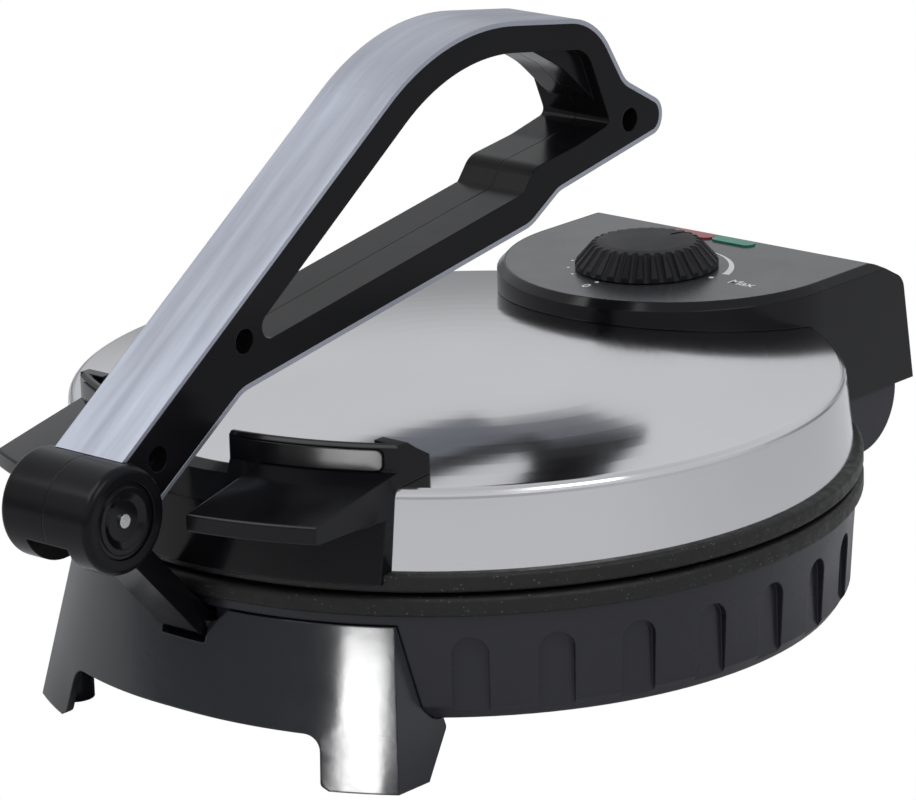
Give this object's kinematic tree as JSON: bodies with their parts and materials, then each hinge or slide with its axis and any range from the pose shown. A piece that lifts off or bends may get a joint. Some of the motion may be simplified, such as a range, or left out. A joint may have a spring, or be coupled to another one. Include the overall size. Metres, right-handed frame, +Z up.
{
  "type": "electric roti maker",
  "caption": "Round electric flatbread press with two hinged plates, a steel domed lid, a looped lever handle on a link, front bracket wings and a rear control housing with dial and lamps.",
  "frame": {"origin": "centre of the bounding box on the table surface", "axes": "+Z up from the table, -Y towards the handle's barrel at the front, +X to the right seen from the front"},
  "size_m": [0.267, 0.3608, 0.212],
  "materials": {
    "bowl_plastic": "satin moulded",
    "stand_plastic": "gloss",
    "pad_rubber": "matte",
    "plate_coating": "non-stick coating with fine flecks",
    "element_steel": "dull",
    "shield_aluminium": "plain sheet",
    "pin_steel": "plain",
    "lid_steel": "brushed",
    "gloss_black": "gloss",
    "panel_grey": "matte",
    "band_silver": "satin silver",
    "knob_black": "matte",
    "red_lens": "translucent lens, unlit",
    "green_lens": "translucent lens, unlit"
  },
  "bodies": {
    "base": {"base_bowl": "bowl_plastic", "front_stand": "stand_plastic", "bottom_cover": "bowl_plastic", "hinge_block": "bowl_plastic", "rear_feet": "bowl_plastic", "foot_pads": "pad_rubber", "lower_plate": "plate_coating", "lower_element": "element_steel", "lower_heat_shield": "shield_aluminium", "hinge_pins": "pin_steel", "link_pin": "pin_steel", "base_screws": "pin_steel", "cord_gland": "pad_rubber"},
    "lid": {"lid_shell": "lid_steel", "upper_plate": "plate_coating", "upper_element": "element_steel", "upper_heat_shield": "shield_aluminium", "front_bracket": "gloss_black", "bracket_trim": "gloss_black", "control_housing": "gloss_black", "control_panel": "panel_grey", "thermostat": "element_steel", "red_lamp": "red_lens", "green_lamp": "green_lens", "lid_screws": "pin_steel"},
    "link": {"link_arm": "gloss_black", "link_bush": "pin_steel"},
    "handle": {"handle_right": "gloss_black", "handle_left": "gloss_black", "handle_band": "band_silver", "barrel_caps": "gloss_black", "handle_pin": "pin_steel", "handle_screws": "pin_steel"},
    "dial": {"dial_knob": "knob_black", "dial_spindle": "pin_steel"}
  },
  "joints": [
    {"name": "lid_hinge", "type": "hinge", "parent": "base", "child": "lid", "pos_m": [0, 0.1541, 0.061], "axis": [-1, 0, 0], "range_deg": [0, 65]},
    {"name": "link_pivot", "type": "hinge", "parent": "base", "child": "link", "pos_m": [0, -0.1179, 0.0446], "axis": [1, 0, 0], "range_deg": [0, 40]},
    {"name": "handle_pivot", "type": "hinge", "parent": "link", "child": "handle", "pos_m": [0, -0.1632, 0.0923], "axis": [1, 0, 0], "range_deg": [0, 95]},
    {"name": "dial_turn", "type": "hinge", "parent": "lid", "child": "dial", "pos_m": [0, 0.1121, 0.1079], "axis": [0, 0, 1], "range_deg": [-72, 195]}
  ],
  "couplings": [
    {"joint": "link_pivot", "follows": "lid_hinge", "ratio": 0.615},
    {"joint": "handle_pivot", "follows": "lid_hinge", "ratio": 1.461}
  ]
}
